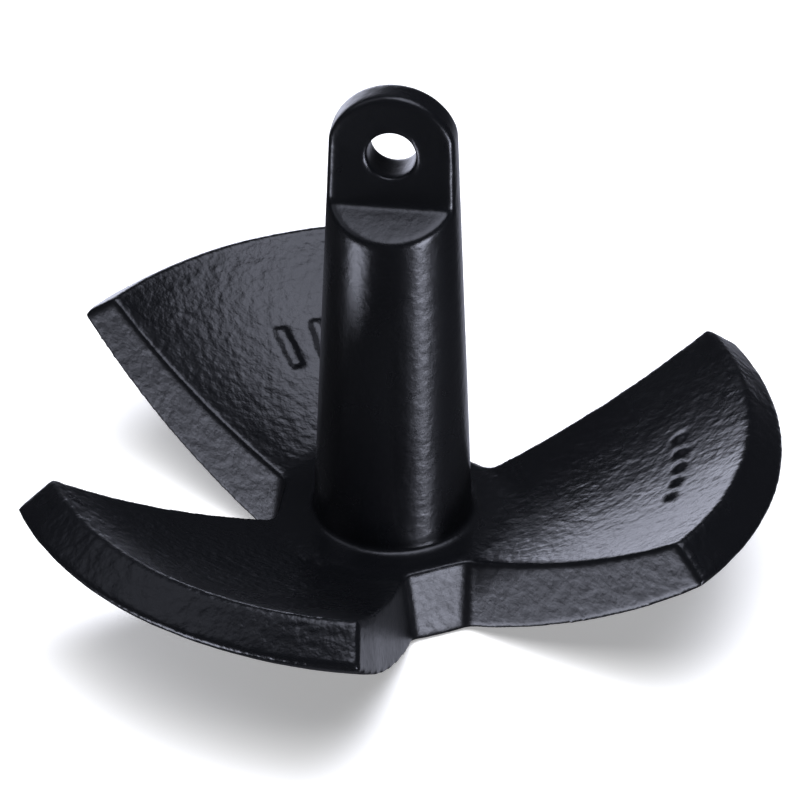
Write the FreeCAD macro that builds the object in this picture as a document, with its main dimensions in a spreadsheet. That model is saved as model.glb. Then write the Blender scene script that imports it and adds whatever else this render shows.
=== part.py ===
import FreeCAD, Part
import Sketcher
import math
import os
import re

# Cast iron river anchor in a black vinyl coat: a shank with an eye for the rode, a thick
# hub that stands flat, and three cupped flukes.
#
# Frame: millimetres and degrees, +Z up. The origin is on the shank's axis in the plane of
# the hub's foot. The right fluke's middle line lies along +X and the eye's bore along Y.
#
# The anchor is drawn over its coat, and again as the bare iron, which is the same shape
# drawn in by the coat's thickness. The coat is what lies between the two. Both are parted
# where the pieces meet: shank, hub and three flukes.

SHEET = "Dimensions"

# Driving dimensions, measured over the coat.
DIMENSIONS = {
    "coat_thickness": 1.0,
    "edge_round": 2.5,
    # how far what a piece is cut with reaches past the piece
    "clearance": 10.0,
    # hub
    "hub_height": 33.3,
    "hub_radius": 58.5,
    "foot_radius": 51.5,
    "crease_radius": 52.8,
    "crease_round": 21.0,
    # flukes, as one bowl of revolution
    "bowl_top_arc": 376.0,
    "bowl_under_arc": 363.0,
    "rim_inner_radius": 152.2,
    "rim_inner_height": 84.5,
    "rim_outer_radius": 168.4,
    "rim_outer_height": 71.3,
    # the slots that part the flukes, at the level of the foot
    "slot_end": 54.0,
    "slot_end_width": 24.7,
    "slot_wall_angle": 28.7,
    "slot_reach": 210.0,
    "slot_draft": 8.0,
    "slot_corner_round": 6.3,
    # shank
    "shank_foot_radius": 34.4,
    "shank_draft": 2.36,
    "shank_foot_round": 2.3,
    "seat_radius": 38.5,
    "seat_depth": 12.5,
    # eye
    "eye_height": 214.5,
    "eye_bore_radius": 10.2,
    "eye_mouth_round": 1.4,
    "arch_radius": 27.1,
    "cheek_base_height": 191.9,
    "cheek_base_half": 9.8,
    "cheek_top_half": 7.0,
    "shoulder_slope": 23.2,
    "shoulder_round": 2.1,
}

FLUKES = ("right", "rear", "front")
SMOOTH = 12.0  # an edge across which the surface turns less than this stays as it is
TO_SLOT = FreeCAD.Rotation(FreeCAD.Vector(0, 1, 0), 180)  # seams lie in the slot at -X
BORE_TURN = FreeCAD.Rotation(FreeCAD.Vector(0, 0, 1), 250)  # the bore's seam lies low
NEAR = 2.0  # how far an edge's middle may lie from where it is looked for
SEAM = 180.0  # the seams of the cylinders that part the pieces lie in the slot at -X too


def make_sheet(doc):
    sheet = doc.addObject("Spreadsheet::Sheet", SHEET)
    for row, (name, value) in enumerate(DIMENSIONS.items(), start=1):
        sheet.set(f"A{row}", name)
        sheet.set(f"B{row}", str(value))
        sheet.setAlias(f"B{row}", name)
    doc.recompute()


def from_sheet(expression):
    """The same expression with each dimension's name read from the sheet."""
    return re.sub(
        "[a-z_]+",
        lambda word: f"{SHEET}.{word[0]}" if word[0] in DIMENSIONS else word[0],
        expression,
    )


# Sketches


def new_sketch(body, name, role):
    """A sketch on one of the body's own origin planes."""
    sketch = body.newObject("Sketcher::SketchObject", name)
    plane = next(f for f in body.Origin.OriginFeatures if f.Role == role)
    sketch.AttachmentSupport = (plane, [""])
    sketch.MapMode = "FlatFace"
    return sketch


def constrain(sketch, kind, *references, size=None):
    """Adds a constraint. A size is an expression that its value is bound to."""
    if size is None:
        sketch.addConstraint(Sketcher.Constraint(kind, *references))
        return
    value = sketch.evalExpression(from_sheet(size))
    index = sketch.addConstraint(Sketcher.Constraint(kind, *references, value))
    sketch.setExpression(f"Constraints[{index}]", from_sheet(size))


def vertex_at(sketch, side, point):
    """Which end of a side lies at a point: 1, its start, or 2, its end."""
    return min((1, 2), key=lambda end: sketch.getPoint(side, end).distanceToPoint(point))


def make_side(start, end, radius=None, hollow=False):
    """A straight side, or an arc that bulges out of the outline or, hollow, into it."""
    if radius is None:
        return Part.LineSegment(start, end)
    chord = end - start
    rise = radius - math.sqrt(max(radius**2 - (chord.Length / 2) ** 2, 0))
    inward = FreeCAD.Vector(-chord.y, chord.x, 0).normalize()
    return Part.Arc(start, (start + end) * 0.5 + inward * (rise if hollow else -rise), end)


def tie_corner(sketch, before, side, point, corner):
    """Joins two sides at a corner, and binds where the corner lies."""
    here = vertex_at(sketch, side, point)
    constrain(sketch, "Coincident", before, vertex_at(sketch, before, point), side, here)
    for kind, axis, size in zip(("DistanceX", "DistanceY"), (-2, -1), corner):
        if size == "0":
            constrain(sketch, "PointOnObject", side, here, axis)
        else:
            constrain(sketch, kind, -1, 1, side, here, size=size)


def draw_outline(sketch, corners, arcs=None):
    """Draws a closed outline from its corners, pairs of expressions, anticlockwise.

    arcs gives each side that is an arc, by the number of the corner that it starts from:
    its radius and whether it is hollow. The centre of a half turn lies on the side after
    it, and no other constraint is needed.
    """
    arcs = arcs or {}
    points = [
        FreeCAD.Vector(*(sketch.evalExpression(from_sheet(size)) for size in corner), 0)
        for corner in corners
    ]
    ends = points[1:] + points[:1]
    sides = []
    for i, (start, end) in enumerate(zip(points, ends)):
        size, hollow = arcs.get(i, (None, False))
        radius = None if size is None else sketch.evalExpression(from_sheet(size))
        sides.append(sketch.addGeometry(make_side(start, end, radius, hollow)))
    for i, (point, corner) in enumerate(zip(points, corners)):
        tie_corner(sketch, sides[i - 1], sides[i], point, corner)
    for i, (size, _) in arcs.items():
        spare = sketch.evalExpression(from_sheet(size)) * 2 - (ends[i] - points[i]).Length
        if spare > NEAR:
            constrain(sketch, "Radius", sides[i], size=size)
        else:
            constrain(sketch, "PointOnObject", sides[i], 3, sides[i + 1])


# Features


def add_feature(body, kind, name, **settings):
    """Adds a feature to the body as its new tip, and makes sure that it did something."""
    before = 0 if body.Shape.isNull() else body.Shape.Volume
    feature = body.newObject(kind, name)
    for key, value in settings.items():
        setattr(feature, key, value)
    body.Tip = feature
    body.Document.recompute()
    if abs(body.Shape.Volume - before) < 1 or not body.Shape.isValid():
        raise RuntimeError(f"{body.Label} {name} changes nothing or fails")
    return feature


def cut_through(body, sketch):
    """Cuts a sketch out of the body, both ways from its plane."""
    add_feature(
        body,
        "PartDesign::Pocket",
        sketch.Label + "_cut",
        Profile=sketch,
        Type="ThroughAll",
        SideType="Symmetric",
    )


def from_axis(point):
    return math.hypot(point.x, point.y)


def middle_of(edge):
    return edge.valueAt((edge.FirstParameter + edge.LastParameter) / 2)


def turn_across(shape, edge):
    """How far the surface turns at the middle of an edge."""
    faces = shape.ancestorsOfType(edge, Part.Face)
    if len(faces) != 2:
        return 0
    middle = middle_of(edge)
    normals = [face.normalAt(*face.Surface.parameter(middle)) for face in faces]
    return math.degrees(normals[0].getAngle(normals[1]))


def round_edges(body, name, radius, wanted):
    """Rounds the sharp edges whose middle point is wanted."""
    names = [
        f"Edge{number}"
        for number, edge in enumerate(body.Shape.Edges, start=1)
        if wanted(middle_of(edge)) and turn_across(body.Shape, edge) > SMOOTH
    ]
    size = body.evalExpression(from_sheet(radius))
    fillet = add_feature(
        body, "PartDesign::Fillet", name, Base=(body.Tip, names), Radius=size
    )
    fillet.setExpression("Radius", from_sheet(radius))


# The whole anchor. inset is "0" over the coat and "coat_thickness" for the bare iron.


def mitre(direction_in, direction_out):
    """How far an outline's corner moves, across and up, when it is drawn in by one."""
    normals = [(math.sin(a), -math.cos(a)) for a in (direction_in, direction_out)]
    share = 1 + normals[0][0] * normals[1][0] + normals[0][1] * normals[1][1]
    return [-(normals[0][i] + normals[1][i]) / share for i in (0, 1)]


def corner_moves():
    """How each corner of the bowl's outline moves when it is drawn in by one."""
    size = DIMENSIONS
    foot = (size["foot_radius"], 0)
    outer = (size["rim_outer_radius"], size["rim_outer_height"])
    inner = (size["rim_inner_radius"], size["rim_inner_height"])
    crease = (size["crease_radius"], size["hub_height"])

    def heading(start, end):
        return math.atan2(end[1] - start[1], end[0] - start[0])

    def half_turn(start, end, radius):
        return math.asin(math.dist(start, end) / 2 / radius)

    under = heading(foot, outer)
    under_turn = half_turn(foot, outer, size["bowl_under_arc"])
    bevel = heading(outer, inner)
    top = heading(inner, crease)
    top_turn = half_turn(inner, crease, size["bowl_top_arc"])
    return {
        "foot": mitre(0, under - under_turn),
        "outer": mitre(under + under_turn, bevel),
        "inner": mitre(bevel, top + top_turn),
        "crease": mitre(top - top_turn, math.pi),
    }


def turn_blank(body, inset):
    """Foot, underside, bevelled rim, cupped top, hub and shank, turned about the axis."""
    moves = corner_moves()

    def moved(corner, across, up):
        return [
            f"{place} + {move:.4f} * {inset}"
            for place, move in zip((across, up), moves[corner])
        ]

    peak = "(eye_height + arch_radius + clearance / 2)"
    flank = f"shank_foot_radius - {inset} / cos(shank_draft)"
    peak_radius = f"{flank} - ({peak} - hub_height) * tan(shank_draft)"
    sketch = new_sketch(body, "turned_outline", "XZ_Plane")
    sketch.AttachmentOffset.Rotation = TO_SLOT
    corners = [
        ("0", inset),
        moved("foot", "foot_radius", "0"),
        moved("outer", "rim_outer_radius", "rim_outer_height"),
        moved("inner", "rim_inner_radius", "rim_inner_height"),
        moved("crease", "crease_radius", "hub_height"),
        (f"{flank} + {inset} * tan(shank_draft)", f"hub_height - {inset}"),
        (peak_radius, peak),
        ("0", peak),
    ]
    arcs = {
        1: (f"bowl_under_arc - {inset}", False),
        3: (f"bowl_top_arc + {inset}", True),
    }
    draw_outline(sketch, corners, arcs)
    body.Document.recompute()
    add_feature(
        body,
        "PartDesign::Revolution",
        "turned",
        Profile=sketch,
        ReferenceAxis=(sketch, ["V_Axis"]),
        Angle=360,
    )


def is_wall(face):
    """An upright face of what a slot is cut with, other than its far end."""
    normal = face.normalAt(0, 0)
    return abs(normal.z) < 0.5 and normal.x < 0.5


def slot_tool(doc, name, inset, turn):
    """What one slot is cut with: a wedge whose blunt end lies near the axis.

    The slot's walls lean back, so that a mould lets go: it is wider higher up.
    """
    body = doc.addObject("PartDesign::Body", name)
    body.Placement.Rotation = FreeCAD.Rotation(FreeCAD.Vector(0, 0, 1), turn)
    set_back = f"{inset} / cos(slot_draft)"
    spread = f"{set_back} * (1 / cos(slot_wall_angle) - tan(slot_wall_angle))"
    end = f"(slot_end - {set_back})"
    end_half = f"(slot_end_width / 2 + {spread})"
    mouth = f"({end_half} + (slot_reach - {end}) * tan(slot_wall_angle))"
    outline = new_sketch(body, name + "_outline", "XY_Plane")
    corners = [(end, f"-{end_half}"), ("slot_reach", f"-{mouth}"), ("slot_reach", mouth)]
    draw_outline(outline, corners + [(end, end_half)])
    doc.recompute()
    pad = add_feature(body, "PartDesign::Pad", name + "_pad", Profile=outline)
    pad.setExpression("Length", from_sheet("rim_inner_height + clearance"))
    doc.recompute()
    walls = [
        f"Face{number}"
        for number, face in enumerate(pad.Shape.Faces, start=1)
        if is_wall(face)
    ]
    plane = next(f for f in body.Origin.OriginFeatures if f.Role == "XY_Plane")
    draft = add_feature(
        body,
        "PartDesign::Draft",
        name + "_draft",
        Base=(pad, walls),
        NeutralPlane=(plane, [""]),
        Angle=DIMENSIONS["slot_draft"],
        Reversed=True,
    )
    draft.setExpression("Angle", from_sheet("slot_draft"))
    doc.recompute()
    middle = pad.Length.Value / 2
    round_edges(
        body,
        name + "_round",
        f"slot_corner_round + {inset}",
        lambda p: p.x < DIMENSIONS["hub_radius"] and abs(p.z - middle) < NEAR,
    )
    return body


def cut_slots(body, inset):
    """Three slots, which part the bowl into its flukes."""
    share = 360 / len(FLUKES)
    tools = [
        slot_tool(body.Document, f"{body.Label}_slot_{number + 1}", inset, (number + 0.5) * share)
        for number in range(len(FLUKES))
    ]
    slots = body.newObject("PartDesign::Boolean", "slots")
    slots.Type = "Cut"
    slots.setObjects(tools)
    body.Tip = slots
    body.Document.recompute()


def cut_cheeks(body, inset):
    """Flat cheeks over sloping shoulders."""
    top = "(eye_height + arch_radius + clearance)"
    side = "(shank_foot_radius + clearance)"
    lean = "(cheek_base_half - cheek_top_half) / (eye_height + arch_radius - cheek_base_height)"
    base_half = f"(cheek_base_half - {inset})"
    base = f"cheek_base_height - {inset} * (1 - sin(shoulder_slope)) / cos(shoulder_slope)"
    top_half = f"({base_half} - ({top} - cheek_base_height) * {lean})"
    drop = f"({side} - cheek_base_half) * tan(shoulder_slope) + {inset} / cos(shoulder_slope)"
    shoulder = f"cheek_base_height - ({drop})"
    outlines = {
        "near_cheek": [
            (f"-{base_half}", base),
            (f"-{top_half}", top),
            (f"-{side}", top),
            (f"-{side}", shoulder),
        ],
        "far_cheek": [(base_half, base), (side, shoulder), (side, top), (top_half, top)],
    }
    for name, corners in outlines.items():
        cheek = new_sketch(body, name, "YZ_Plane")
        draw_outline(cheek, corners)
        cut_through(body, cheek)


def cut_arch(body, inset):
    """The round top of the eye."""
    top = "(eye_height + arch_radius + clearance)"
    side = "(shank_foot_radius + clearance)"
    radius = f"(arch_radius - {inset})"
    arch = new_sketch(body, "arch", "XZ_Plane")
    corners = [
        (f"-{radius}", "eye_height"),
        (radius, "eye_height"),
        (side, "eye_height"),
        (side, top),
        (f"-{side}", top),
        (f"-{side}", "eye_height"),
    ]
    draw_outline(arch, corners, {0: (radius, True)})
    cut_through(body, arch)


def cut_bore(body, inset):
    bore = new_sketch(body, "bore", "XZ_Plane")
    bore.AttachmentOffset.Rotation = BORE_TURN
    bore.setExpression("AttachmentOffset.Base.y", from_sheet("eye_height"))
    radius = DIMENSIONS["eye_bore_radius"]
    circle = bore.addGeometry(Part.Circle(FreeCAD.Vector(), FreeCAD.Vector(0, 0, 1), radius))
    constrain(bore, "Coincident", circle, 3, -1, 1)
    constrain(bore, "Radius", circle, size=f"eye_bore_radius + {inset}")
    cut_through(body, bore)


def round_foot(body, inset):
    """The crease where hub and flukes meet, and the foot of the shank."""
    size = DIMENSIONS
    round_edges(
        body,
        "crease_round",
        f"crease_round + {inset}",
        lambda p: abs(p.z - size["hub_height"]) < NEAR and from_axis(p) > size["seat_radius"],
    )
    round_edges(
        body,
        "shank_foot_round",
        f"shank_foot_round + {inset}",
        lambda p: abs(p.z - size["hub_height"]) < NEAR and from_axis(p) < size["seat_radius"],
    )


def round_eye(body, inset):
    """The shoulders, the bore's mouths and the edges of the cheeks."""
    size = DIMENSIONS
    base = size["cheek_base_height"]
    bore = size["eye_bore_radius"]
    round_edges(
        body,
        "shoulder_round",
        f"shoulder_round + {inset}",
        lambda p: abs(p.z - base) < NEAR and from_axis(p) < size["cheek_base_half"] + NEAR,
    )
    round_edges(
        body,
        "mouth_round",
        f"eye_mouth_round - {inset} * 0.8",
        lambda p: math.hypot(p.x, p.z - size["eye_height"]) < bore + NEAR,
    )
    round_edges(
        body,
        "eye_round",
        f"edge_round - {inset}",
        lambda p: p.z > size["rim_inner_height"] + NEAR,
    )


def round_rim(body, inset):
    size = DIMENSIONS
    round_edges(
        body,
        "rim_round",
        f"edge_round - {inset}",
        lambda p: from_axis(p) > size["rim_inner_radius"] - NEAR,
    )


def whole_anchor(doc, name, inset):
    body = doc.addObject("PartDesign::Body", name)
    turn_blank(body, inset)
    round_foot(body, inset)
    cut_cheeks(body, inset)
    cut_arch(body, inset)
    cut_bore(body, inset)
    round_eye(body, inset)
    cut_slots(body, inset)
    round_rim(body, inset)
    return body


# Parting the anchor into its pieces


def drum(doc, name, radius, bottom, height, angle=360, turn=SEAM):
    """A cylinder on the axis, or a sector of one, that a piece is cut with."""
    cylinder = doc.addObject("Part::Cylinder", name)
    cylinder.setExpression("Radius", from_sheet(radius))
    cylinder.setExpression("Height", from_sheet(height))
    cylinder.Angle = angle
    cylinder.Placement.Rotation = FreeCAD.Rotation(FreeCAD.Vector(0, 0, 1), turn)
    cylinder.setExpression("Placement.Base.z", from_sheet(bottom))
    return cylinder


def combine(doc, kind, name, base, tool):
    feature = doc.addObject(kind, name)
    feature.Base = base
    feature.Tool = tool
    doc.recompute()
    return feature


def part_pieces(doc, source, ending, drums):
    """Parts the anchor, coated or bare, into its shank, hub and flukes."""
    pieces = {"shank": combine(doc, "Part::Common", f"shank{ending}", source, drums["shank"])}
    rest = combine(doc, "Part::Cut", f"base{ending}", source, drums["shank"])
    pieces["hub"] = combine(doc, "Part::Common", f"hub{ending}", rest, drums["hub"])
    rim = combine(doc, "Part::Cut", f"flukes{ending}", rest, drums["hub"])
    for fluke in FLUKES:
        name = f"fluke_{fluke}"
        pieces[name] = combine(doc, "Part::Common", name + ending, rim, drums[name])
    return pieces


def part_coats(doc, coated, iron):
    """The coat on each piece: the coated piece less its iron."""
    return [
        combine(doc, "Part::Cut", f"{name}_coating", coated[name], iron[name])
        for name in iron
    ]


def make_drums(doc):
    """What the anchor is parted with: a cylinder for the shank and the hub, and sectors."""
    height = "eye_height + arch_radius + 2 * clearance"
    drums = {
        "shank": drum(doc, "shank_drum", "seat_radius", "hub_height - seat_depth", height),
        "hub": drum(doc, "hub_drum", "hub_radius", "-clearance", height),
    }
    share = 360 / len(FLUKES)
    reach = "rim_outer_radius + clearance"
    for number, fluke in enumerate(FLUKES):
        turn = (number - 0.5) * share
        sector = drum(doc, f"{fluke}_sector", reach, "-clearance", height, share, turn)
        drums[f"fluke_{fluke}"] = sector
    return drums


def check_objects(doc, pieces):
    for thing in doc.Objects:
        if "Invalid" in thing.State or "Error" in thing.State:
            raise RuntimeError(f"{thing.Label} failed: {thing.State}")
    for piece in pieces:
        shape = piece.Shape
        if shape.isNull() or not shape.isValid() or len(shape.Solids) != 1:
            raise RuntimeError(f"{piece.Label} isn't one sound solid")


def write_pieces(pieces):
    os.makedirs("parts", exist_ok=True)
    for piece in pieces:
        piece.Shape.Solids[0].exportStep(f"parts/{piece.Label}.step")
        centimetres = piece.Shape.Volume / 1000
        print(f"{piece.Label}: {centimetres:.1f} cm3")


def main():
    doc = FreeCAD.newDocument("river_anchor")
    make_sheet(doc)
    coated = whole_anchor(doc, "coated_anchor", "0")
    iron = whole_anchor(doc, "iron_anchor", "coat_thickness")
    drums = make_drums(doc)
    iron_pieces = part_pieces(doc, iron, "", drums)
    coated_pieces = part_pieces(doc, coated, "_coated", drums)
    pieces = list(iron_pieces.values()) + part_coats(doc, coated_pieces, iron_pieces)
    check_objects(doc, pieces)
    write_pieces(pieces)


main()
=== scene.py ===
import math

import bmesh
import bpy
import numpy as np
from mathutils import Matrix, Vector
from mathutils.bvhtree import BVHTree


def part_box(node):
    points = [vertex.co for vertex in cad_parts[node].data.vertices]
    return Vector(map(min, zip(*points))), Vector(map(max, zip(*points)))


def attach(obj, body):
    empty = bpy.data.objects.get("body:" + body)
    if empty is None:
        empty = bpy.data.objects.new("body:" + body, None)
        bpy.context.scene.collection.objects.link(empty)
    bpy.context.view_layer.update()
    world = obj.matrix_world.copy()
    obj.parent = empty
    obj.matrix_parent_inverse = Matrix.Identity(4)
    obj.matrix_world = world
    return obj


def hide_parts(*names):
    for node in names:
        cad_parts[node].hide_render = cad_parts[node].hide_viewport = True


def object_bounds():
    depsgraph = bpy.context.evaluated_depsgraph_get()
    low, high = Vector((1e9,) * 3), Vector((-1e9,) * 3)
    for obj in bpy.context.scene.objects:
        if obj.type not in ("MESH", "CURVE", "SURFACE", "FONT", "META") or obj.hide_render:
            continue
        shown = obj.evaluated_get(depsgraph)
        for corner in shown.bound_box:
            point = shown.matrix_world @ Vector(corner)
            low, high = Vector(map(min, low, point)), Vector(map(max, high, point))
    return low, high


# A river anchor: cast iron under a black vinyl coat. The iron stays as the CAD model has it.
# The coat is rebuilt here as the one skin that it is, with the soft edges and the sand
# grain of the casting under it. Metres, +Z up, the right fluke along +X.

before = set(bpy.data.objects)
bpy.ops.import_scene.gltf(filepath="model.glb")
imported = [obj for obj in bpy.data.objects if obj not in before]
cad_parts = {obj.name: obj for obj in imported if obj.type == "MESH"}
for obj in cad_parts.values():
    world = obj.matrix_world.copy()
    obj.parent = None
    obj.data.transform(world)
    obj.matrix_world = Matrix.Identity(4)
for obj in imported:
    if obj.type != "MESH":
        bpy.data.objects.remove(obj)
cad_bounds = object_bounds()

IRON = ("shank", "hub", "fluke_right", "fluke_rear", "fluke_front")
COATINGS = tuple(name + "_coating" for name in IRON)

# Places read from the frame
FOOT_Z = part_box("hub_coating")[0].z
HUB_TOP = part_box("hub_coating")[1].z
HUB_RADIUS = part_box("hub_coating")[1].x
RIM_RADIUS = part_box("fluke_right_coating")[1].x
TOP_Z = cad_bounds[1].z
SHANK_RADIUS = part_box("shank_coating")[1].x

# The skin
VOXEL = 0.0009
SOFTEN_ROUNDS = 10  # more of them thin the coat over the iron's edges
SHARE_STEPS = 20  # how finely a share is told apart where it guides the displacement
OFF_SHANK = (0.004, 0.010)  # past the shank's foot, where the cast grain begins and is full
SLOT_END_TOP = (0.95, 1.05)  # where the slots' end walls stop, in shares of the hub's height
SLOT_END_FACING = (0.6, 0.9)  # how squarely a slot's end faces away from the axis
SLOT_SIDE_FACING = (0.55, 0.8)  # and its side walls, round the axis
WALL_CALM = 0.65  # how much less the cast grain shows on the slots' walls
GRAIN_LAYERS = (
    # name, size of the lumps, height, where
    ("wave", 0.012, 0.00042, "cast"),
    ("grain", 0.0030, 0.00010, "cast"),
    ("lumps", 0.0065, 0.00008, "wall"),
)

# Raised marks: two plain bars on the rear fluke and a row of pips on the right one.
# Radii of the rows are shares of the rim's.
REAR_AZIMUTH = math.radians(120)
BAR_RADIUS = 0.62
BAR_GAP = 0.016
BAR_SIZE = (0.0052, 0.021, 0.0034)
PIP_ROW = 0.74
PIPS = 5
PIP_PITCH = 0.011
PIP_RADIUS = 0.0034
PIP_FLATNESS = 0.55

# Colours of the materials, each between two tones
COAT_TONES = ((0.0016, 0.0018, 0.0024, 1), (0.0030, 0.0033, 0.0042, 1))
IRON_TONES = ((0.11, 0.11, 0.115, 1), (0.17, 0.165, 0.16, 1))
FLOOR_TONES = ((0.86, 0.86, 0.86, 1), (0.9, 0.9, 0.9, 1))
COAT_ROUGHNESS = (0.24, 0.32)
WALL_ROUGHNESS = 0.12  # more of it on the slots' walls

# Stage. Angles are in degrees: azimuth 0 is towards -Y and 90 towards +X.
FLOOR_SIZE = 12.0
FLOOR_GAP = 0.0002
BACKDROP = (0.9, 0.9, 0.9, 1)
ROOM_LIGHT = 0.045
ROOM_TINT = (0.80, 0.83, 1.0, 1)
GLOWS = (
    # azimuth, elevation, radius of the bright middle, radius where it ends, brightness
    (97, 80, 7, 31, 3.6),
    (-81, 49, 6, 26, 0.6),
    (-55, -37, 7, 18, 9.0),
    (54, -14, 7, 16, 15.0),
    (199, -4, 8, 27, 3.0),
    (170, -30, 6, 22, 0.75),
)
FLOOR_LIGHT = {"azimuth": 7, "elevation": 75, "distance": 2.2, "size": 2.0, "watts": 70}
FLOOR_GLOW = 0.35  # keeps the floor's shadows pale
CAMERA_VIEW = (7.5, 33.88)
CAMERA_AIM = Vector((0.003, 0.0, 0.0893))
CAMERA_ROLL = 0.158
CAMERA_DISTANCE = 1.9663
CAMERA_LENS = 207.1


def smooth_step(value, low, high):
    share = np.clip((value - low) / (high - low), 0, 1)
    return share * share * (3 - 2 * share)


# Materials


class Nodes:
    """Short-hand for a material's node tree."""

    def __init__(self, name):
        self.material = bpy.data.materials.new(name)
        self.material.use_nodes = True
        self.tree = self.material.node_tree
        self.shader = self.tree.nodes["Principled BSDF"]

    def add(self, kind, **inputs):
        node = self.tree.nodes.new(kind)
        for name, value in inputs.items():
            socket = node.inputs[name.replace("_", " ")]
            if isinstance(value, bpy.types.NodeSocket):
                self.tree.links.new(value, socket)
            else:
                socket.default_value = value
        return node

    def noise(self, place, size, detail=3.0, roughness=0.5, distortion=0.0):
        """Noise whose blotches are about that size, in metres."""
        return self.add(
            "ShaderNodeTexNoise",
            Vector=place,
            Scale=0.5 / size,
            Detail=detail,
            Roughness=roughness,
            Distortion=distortion,
        ).outputs["Fac"]

    def remap(self, value, low, high, to_low, to_high):
        node = self.tree.nodes.new("ShaderNodeMapRange")
        self.tree.links.new(value, node.inputs[0])
        for socket, number in zip(node.inputs[1:5], (low, high, to_low, to_high)):
            socket.default_value = number
        return node.outputs[0]

    def math(self, operation, *values):
        node = self.tree.nodes.new("ShaderNodeMath")
        node.operation = operation
        for socket, value in zip(node.inputs, values):
            if isinstance(value, bpy.types.NodeSocket):
                self.tree.links.new(value, socket)
            else:
                socket.default_value = value
        return node.outputs[0]

    def mix_colour(self, share, one, two):
        node = self.tree.nodes.new("ShaderNodeMix")
        node.data_type = "RGBA"
        self.tree.links.new(share, node.inputs["Factor"])
        sockets = [s for s in node.inputs if s.type == "RGBA"]
        for socket, value in zip(sockets, (one, two)):
            if isinstance(value, bpy.types.NodeSocket):
                self.tree.links.new(value, socket)
            else:
                socket.default_value = value
        return next(s for s in node.outputs if s.type == "RGBA")

    def bump(self, height, distance, strength=1.0, under=None):
        node = self.add("ShaderNodeBump", Height=height, Distance=distance, Strength=strength)
        if under is not None:
            self.tree.links.new(under, node.inputs["Normal"])
        return node.outputs["Normal"]

    def feed(self, name, value):
        socket = self.shader.inputs[name]
        if isinstance(value, bpy.types.NodeSocket):
            self.tree.links.new(value, socket)
        else:
            socket.default_value = value


def make_coat_material():
    """Satin black vinyl: fine orange peel all over, and the grain of the casting under it."""
    nodes = Nodes("vinyl_coat")
    place = nodes.add("ShaderNodeTexCoord").outputs["Object"]
    shares = {}
    for name in ("wall", "cast"):
        share = nodes.add("ShaderNodeAttribute")
        share.attribute_name = name
        shares[name] = share.outputs["Fac"]
    cloud = nodes.noise(place, 0.03, 4.0, 0.6)
    speck = nodes.noise(place, 0.0012, 5.0, 0.6)
    nodes.feed("Base Color", nodes.mix_colour(cloud, *COAT_TONES))
    smear = nodes.remap(cloud, 0.3, 0.7, *COAT_ROUGHNESS)
    wall_speck = nodes.math("MULTIPLY", shares["wall"], speck)
    nodes.feed("Roughness", nodes.math("MULTIPLY_ADD", wall_speck, WALL_ROUGHNESS, smear))
    nodes.feed("IOR", 1.5)
    nodes.feed("Specular IOR Level", 0.5)
    peel = nodes.noise(place, 0.0022, 2.0, 0.5)
    fine = nodes.noise(place, 0.0007, 3.0, 0.6)
    dimples = nodes.noise(place, 0.0019, 2.0, 0.5)
    ripples = nodes.noise(place, 0.0030, 3.0, 0.55)
    cast_grain = nodes.math("MULTIPLY", dimples, shares["cast"])
    wall_grain = nodes.math("MULTIPLY", ripples, shares["wall"])
    normal = nodes.bump(peel, 0.00017)
    normal = nodes.bump(fine, 0.00003, under=normal)
    normal = nodes.bump(cast_grain, 0.00040, under=normal)
    normal = nodes.bump(wall_grain, 0.00006, under=normal)
    nodes.feed("Normal", normal)
    return nodes.material


def make_iron_material():
    """Raw grey iron as it comes out of the sand, which the coat hides."""
    nodes = Nodes("cast_iron")
    place = nodes.add("ShaderNodeTexCoord").outputs["Object"]
    sand = nodes.noise(place, 0.0012, 6.0, 0.7)
    cloud = nodes.noise(place, 0.02, 4.0, 0.6)
    nodes.feed("Base Color", nodes.mix_colour(cloud, *IRON_TONES))
    nodes.feed("Metallic", 0.85)
    nodes.feed("Roughness", nodes.remap(sand, 0.3, 0.7, 0.5, 0.8))
    nodes.feed("Normal", nodes.bump(sand, 0.0004))
    return nodes.material


def make_floor_material():
    nodes = Nodes("pale_floor")
    place = nodes.add("ShaderNodeTexCoord").outputs["Object"]
    cloud = nodes.noise(place, 0.4, 2.0)
    nodes.feed("Base Color", nodes.mix_colour(cloud, *FLOOR_TONES))
    nodes.feed("Roughness", 0.6)
    nodes.feed("Emission Color", (1, 1, 1, 1))
    nodes.feed("Emission Strength", FLOOR_GLOW)
    return nodes.material


# The skin's shape


def coat_surface():
    """The coat's surface, to find where a mark stands on it."""
    outer = bmesh.new()
    for name in COATINGS:
        outer.from_mesh(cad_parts[name].data)
    tree = BVHTree.FromBMesh(outer)
    outer.free()
    return tree


def on_fluke(tree, azimuth, radius):
    """Where a fluke's cupped side is at an azimuth and radius, and which way it faces."""
    above = Vector((radius * math.cos(azimuth), radius * math.sin(azimuth), TOP_Z))
    place, normal, _, _ = tree.ray_cast(above, Vector((0, 0, -1)))
    return place, normal


def mark_matrix(place, normal, azimuth):
    """Stands a mark on the surface, its X across the fluke and its Y outwards."""
    across = Vector((-math.sin(azimuth), math.cos(azimuth), 0))
    across = (across - normal * across.dot(normal)).normalized()
    turn = Matrix((across, normal.cross(across), normal)).transposed().to_4x4()
    return Matrix.Translation(place) @ turn


def add_bars(mesh, tree):
    """Two plain bars side by side on the rear fluke, in place of the casting's figures."""
    radius = BAR_RADIUS * RIM_RADIUS
    for side in (-1, 1):
        azimuth = REAR_AZIMUTH + side * BAR_GAP / 2 / radius
        place, normal = on_fluke(tree, azimuth, radius)
        matrix = mark_matrix(place, normal, azimuth) @ Matrix.Diagonal((*BAR_SIZE, 1))
        bmesh.ops.create_cube(mesh, size=1.0, matrix=matrix)


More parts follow.
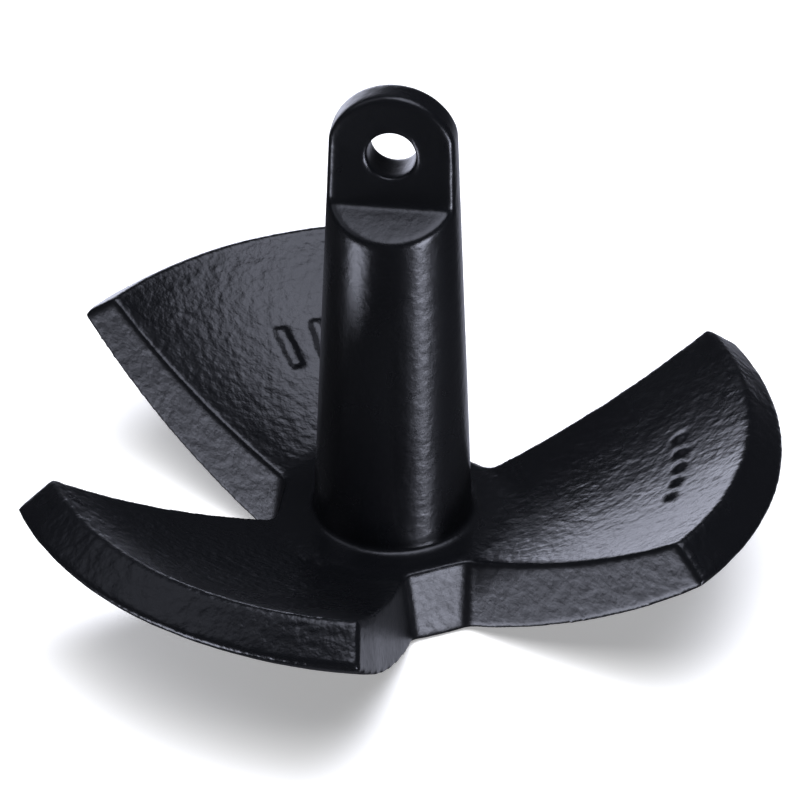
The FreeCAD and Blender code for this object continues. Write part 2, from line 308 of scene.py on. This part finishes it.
def add_pips(mesh, tree):
    """A row of round pips across the right fluke, in place of the casting's letters."""
    for number in range(PIPS):
        azimuth = (number - (PIPS - 1) / 2) * PIP_PITCH / (PIP_ROW * RIM_RADIUS)
        place, normal = on_fluke(tree, azimuth, PIP_ROW * RIM_RADIUS)
        matrix = mark_matrix(place, normal, azimuth) @ Matrix.Diagonal((1, 1, PIP_FLATNESS, 1))
        bmesh.ops.create_icosphere(mesh, subdivisions=3, radius=PIP_RADIUS, matrix=matrix)


def with_modifiers(obj):
    """Makes what the object's modifiers do its own mesh."""
    graph = bpy.context.evaluated_depsgraph_get()
    mesh = bpy.data.meshes.new_from_object(obj.evaluated_get(graph))
    obj.modifiers.clear()
    obj.data = mesh


def read_vectors(collection, attribute):
    values = np.zeros(len(collection) * 3)
    collection.foreach_get(attribute, values)
    return values.reshape(-1, 3)


def soften(mesh, rounds):
    """Moves each point towards the middle of its neighbours, which rounds every edge."""
    place = read_vectors(mesh.vertices, "co")
    ends = np.zeros(len(mesh.edges) * 2, int)
    mesh.edges.foreach_get("vertices", ends)
    one, two = ends.reshape(-1, 2).T
    count = np.bincount(ends, minlength=len(place))[:, None]
    for _ in range(rounds):
        total = np.zeros_like(place)
        for axis in range(3):
            total[:, axis] = np.bincount(one, place[two, axis], len(place))
            total[:, axis] += np.bincount(two, place[one, axis], len(place))
        place += 0.5 * (total / count - place)
    mesh.vertices.foreach_set("co", place.ravel())
    mesh.update()


def set_share(obj, name, share):
    """Keeps a share from 0 to 1 at each point, for the displacement and the material."""
    obj.data.attributes.new(name, "FLOAT", "POINT").data.foreach_set("value", share)
    group = obj.vertex_groups.new(name=name)
    levels = np.round(share * SHARE_STEPS).astype(int)
    for level in range(1, SHARE_STEPS + 1):
        group.add(np.flatnonzero(levels == level).tolist(), level / SHARE_STEPS, "REPLACE")


def mark_regions(obj):
    """Says where the casting shows through the coat, and where the slots' walls are."""
    place = read_vectors(obj.data.vertices, "co")
    normal = read_vectors(obj.data.vertices, "normal")
    reach = np.hypot(place[:, 0], place[:, 1])
    outwards = place[:, :2] / reach[:, None]
    facing_out = (normal[:, :2] * outwards).sum(1)
    facing_round = np.abs(normal[:, 0] * outwards[:, 1] - normal[:, 1] * outwards[:, 0])
    off_shank = smooth_step(reach, *(SHANK_RADIUS + gap for gap in OFF_SHANK))
    low = 1 - smooth_step(place[:, 2], *(HUB_TOP * share for share in SLOT_END_TOP))
    slot_end = low * smooth_step(facing_out, *SLOT_END_FACING) * (reach < HUB_RADIUS)
    side = smooth_step(facing_round, *SLOT_SIDE_FACING)
    wall = off_shank * np.maximum(side, slot_end)
    set_share(obj, "wall", wall)
    set_share(obj, "cast", off_shank * (1 - WALL_CALM * wall))


def displace(obj, name, size, height, group):
    texture = bpy.data.textures.new(name, "CLOUDS")
    texture.noise_scale = size
    texture.noise_depth = 2
    modifier = obj.modifiers.new(name, "DISPLACE")
    modifier.texture = texture
    modifier.strength = height
    modifier.mid_level = 0.5
    modifier.vertex_group = group


def dress_iron(material):
    for name in IRON:
        for material_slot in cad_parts[name].material_slots:
            material_slot.material = material


def make_coat(material):
    whole = bmesh.new()
    for name in IRON + COATINGS:
        whole.from_mesh(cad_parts[name].data)
    tree = coat_surface()
    add_bars(whole, tree)
    add_pips(whole, tree)
    mesh = bpy.data.meshes.new("vinyl_coat")
    whole.to_mesh(mesh)
    whole.free()
    coat = bpy.data.objects.new("vinyl_coat", mesh)
    bpy.context.scene.collection.objects.link(coat)
    remesh = coat.modifiers.new("skin", "REMESH")
    remesh.mode = "VOXEL"
    remesh.voxel_size = VOXEL
    with_modifiers(coat)
    soften(coat.data, SOFTEN_ROUNDS)
    mark_regions(coat)
    for layer in GRAIN_LAYERS:
        displace(coat, *layer)
    with_modifiers(coat)
    coat.data.polygons.foreach_set("use_smooth", [True] * len(coat.data.polygons))
    coat.data.materials.clear()
    coat.data.materials.append(material)
    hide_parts(*COATINGS)
    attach(coat, "root")


# Floor, lights and camera


def make_floor():
    """A pale floor. The coat doesn't mirror it, as in a photo cut out of its backdrop."""
    mesh = bpy.data.meshes.new("floor")
    edge = FLOOR_SIZE / 2
    corners = [(-edge, -edge, 0), (edge, -edge, 0), (edge, edge, 0), (-edge, edge, 0)]
    mesh.from_pydata(corners, [], [(0, 1, 2, 3)])
    mesh.materials.append(make_floor_material())
    floor = bpy.data.objects.new("floor", mesh)
    floor.location.z = FOOT_Z - FLOOR_GAP
    floor.visible_glossy = False
    floor.visible_shadow = False
    bpy.context.scene.collection.objects.link(floor)


def direction(azimuth, elevation):
    """Towards that azimuth, 0 along -Y, and elevation."""
    turn, rise = math.radians(azimuth), math.radians(elevation)
    flat = math.cos(rise)
    return Vector((math.sin(turn) * flat, -math.cos(turn) * flat, math.sin(rise)))


def look_at(obj, place, aim):
    obj.location = place
    obj.rotation_euler = (aim - place).to_track_quat("-Z", "Y").to_euler()


def make_world():
    """A dim room with soft glows, where the studio's light boxes and their reflections are."""
    world = bpy.data.worlds.new("studio")
    world.use_nodes = True
    tree = world.node_tree
    toward = tree.nodes.new("ShaderNodeTexCoord").outputs["Generated"]
    total = ROOM_LIGHT
    for azimuth, elevation, inner, outer, brightness in GLOWS:
        near = tree.nodes.new("ShaderNodeVectorMath")
        near.operation = "DOT_PRODUCT"
        tree.links.new(toward, near.inputs[0])
        near.inputs[1].default_value = direction(azimuth, elevation)
        glow = tree.nodes.new("ShaderNodeMapRange")
        glow.interpolation_type = "SMOOTHSTEP"
        tree.links.new(near.outputs["Value"], glow.inputs["Value"])
        glow.inputs["From Min"].default_value = math.cos(math.radians(outer))
        glow.inputs["From Max"].default_value = math.cos(math.radians(inner))
        glow.inputs["To Max"].default_value = brightness
        add = tree.nodes.new("ShaderNodeMath")
        tree.links.new(glow.outputs["Result"], add.inputs[0])
        if isinstance(total, float):
            add.inputs[1].default_value = total
        else:
            tree.links.new(total, add.inputs[1])
        total = add.outputs[0]
    room = tree.nodes["Background"]
    room.inputs["Color"].default_value = ROOM_TINT
    tree.links.new(total, room.inputs["Strength"])
    backdrop = tree.nodes.new("ShaderNodeBackground")
    backdrop.inputs["Color"].default_value = BACKDROP
    mix = tree.nodes.new("ShaderNodeMixShader")
    seen = tree.nodes.new("ShaderNodeLightPath").outputs["Is Camera Ray"]
    tree.links.new(seen, mix.inputs[0])
    tree.links.new(room.outputs[0], mix.inputs[1])
    tree.links.new(backdrop.outputs[0], mix.inputs[2])
    tree.links.new(mix.outputs[0], tree.nodes["World Output"].inputs["Surface"])
    bpy.context.scene.world = world


def make_floor_light():
    """Lights the floor and softly fills the anchor, without a highlight of its own."""
    light = bpy.data.lights.new("floor_light", "AREA")
    light.size = FLOOR_LIGHT["size"]
    light.energy = FLOOR_LIGHT["watts"]
    lamp = bpy.data.objects.new("floor_light", light)
    lamp.visible_glossy = False
    bpy.context.scene.collection.objects.link(lamp)
    toward = direction(FLOOR_LIGHT["azimuth"], FLOOR_LIGHT["elevation"])
    look_at(lamp, toward * FLOOR_LIGHT["distance"], Vector((0, 0, 0)))


def make_camera():
    camera = bpy.data.cameras.new("camera")
    camera.lens = CAMERA_LENS
    camera.sensor_width = 36
    viewer = bpy.data.objects.new("camera", camera)
    bpy.context.scene.collection.objects.link(viewer)
    look_at(viewer, CAMERA_AIM + direction(*CAMERA_VIEW) * CAMERA_DISTANCE, CAMERA_AIM)
    viewer.rotation_euler.rotate_axis("Z", math.radians(CAMERA_ROLL))
    bpy.context.scene.camera = viewer


dress_iron(make_iron_material())
make_coat(make_coat_material())
make_floor()
make_world()
make_floor_light()
make_camera()
bpy.context.scene.view_settings.view_transform = "Standard"
